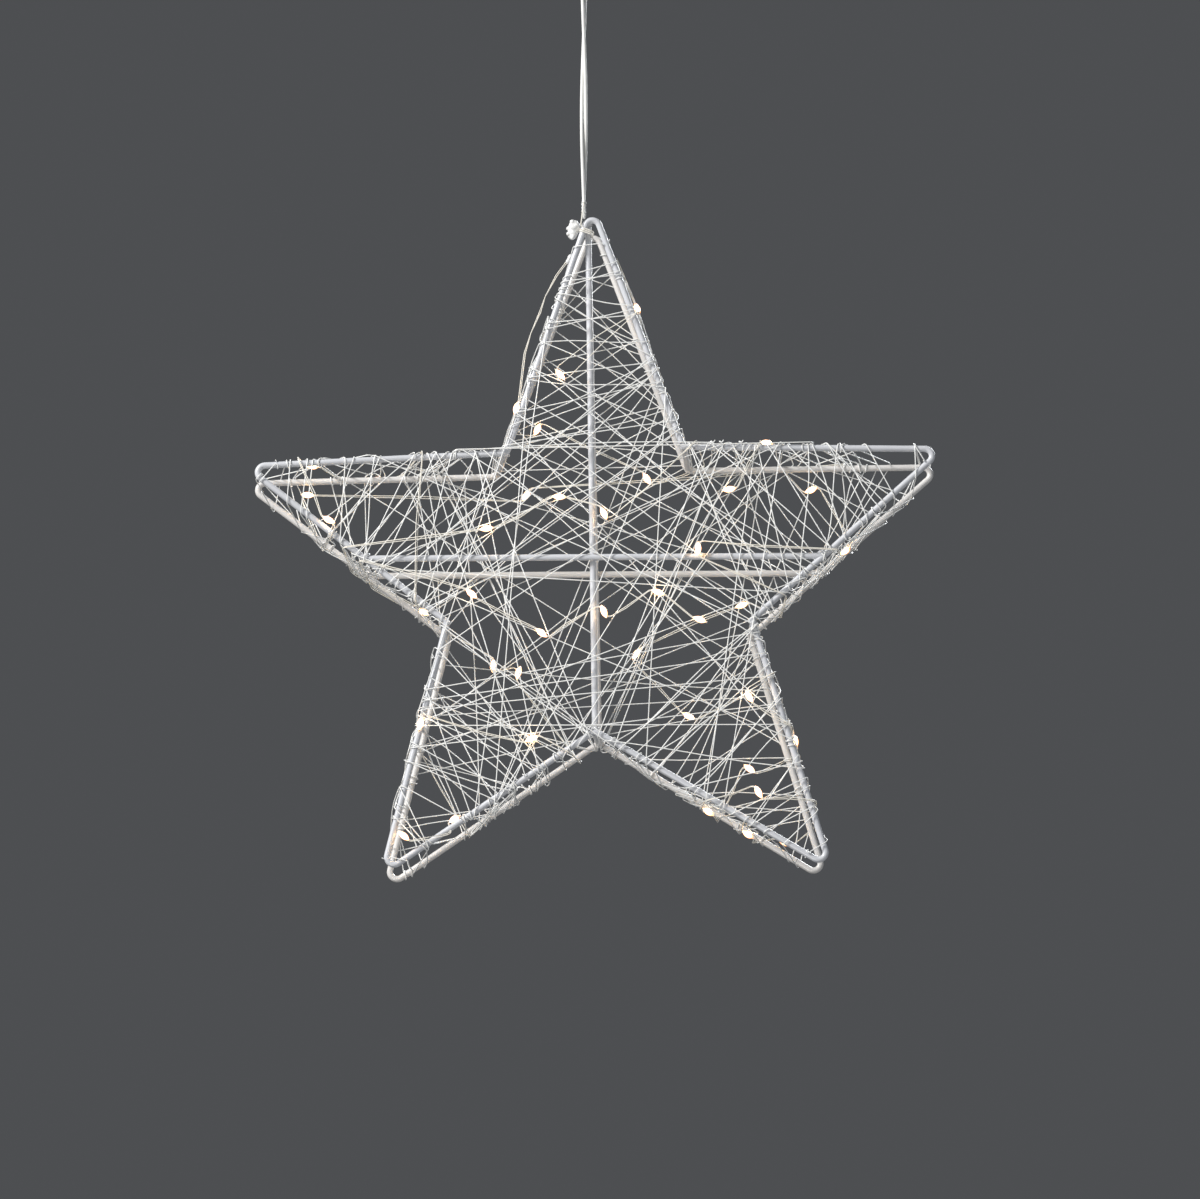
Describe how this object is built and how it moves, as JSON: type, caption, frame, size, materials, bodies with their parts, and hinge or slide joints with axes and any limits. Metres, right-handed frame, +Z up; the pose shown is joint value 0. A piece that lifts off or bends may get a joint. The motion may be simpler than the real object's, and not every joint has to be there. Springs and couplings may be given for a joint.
{
  "type": "lighted hanging star",
  "caption": "Five-pointed hanging star of white wire: two bent frames joined by struts, wound with fine wire and a string of small bead lights, on a twisted lead with a ceiling hook.",
  "frame": {"origin": "middle of the hook plate's upper face, which lies against the ceiling", "axes": "+X to the right and +Z up as the star faces the viewer, who looks along +Y; the star hangs down -Z"},
  "size_m": [0.3783, 0.0659, 0.5492],
  "materials": {
    "frame_paint": "satin white powder coat",
    "winding_wire": "white enamelled wire",
    "light_wire": "bare silvery micro wire with thin clear enamel",
    "bead_resin": "clear resin drop, lit from inside",
    "light_chip": "warm white light-emitting chip",
    "sleeve_plastic": "white heat-shrink sleeve",
    "splice_glue": "white hot-melt glue",
    "lead_plastic": "white cable jacket",
    "grip_plastic": "moulded white plastic",
    "hook_metal": "white enamel"
  },
  "bodies": {
    "hook": {"ceiling_hook": "hook_metal"},
    "lead": {"hanging_grip": "grip_plastic", "lead_strand_first": "lead_plastic", "lead_strand_second": "lead_plastic"},
    "star": {"front_star_frame": "frame_paint", "rear_star_frame": "frame_paint", "spacer_strut_1": "frame_paint", "spacer_strut_2": "frame_paint", "spacer_strut_3": "frame_paint", "spacer_strut_4": "frame_paint", "spacer_strut_5": "frame_paint", "front_upright_rod": "frame_paint", "front_cross_rod": "frame_paint", "rear_upright_rod": "frame_paint", "rear_cross_rod": "frame_paint", "winding_top_arm": "winding_wire", "winding_right_arm": "winding_wire", "winding_right_leg": "winding_wire", "winding_left_leg": "winding_wire", "winding_left_arm": "winding_wire", "winding_band_right": "winding_wire", "winding_band_lower": "winding_wire", "winding_band_left": "winding_wire", "winding_band_upper_left": "winding_wire", "winding_band_upper_right": "winding_wire", "light_string_top": "light_wire", "light_string_left": "light_wire", "light_string_right": "light_wire", "light_string_waist": "light_wire", "light_beads": "bead_resin", "light_chips": "light_chip", "lead_sleeve": "sleeve_plastic", "lead_splice": "splice_glue", "tie_wire": "light_wire"}
  },
  "joints": [
    {"name": "lead_swing", "type": "hinge", "parent": "hook", "child": "lead", "pos_m": [0, 0, -0.022], "axis": [1, 0, 0], "range_deg": [-30, 30]},
    {"name": "star_turn", "type": "hinge", "parent": "lead", "child": "star", "pos_m": [0, 0, -0.176], "axis": [0, 0, 1], "range_deg": [-180, 180]}
  ]
}
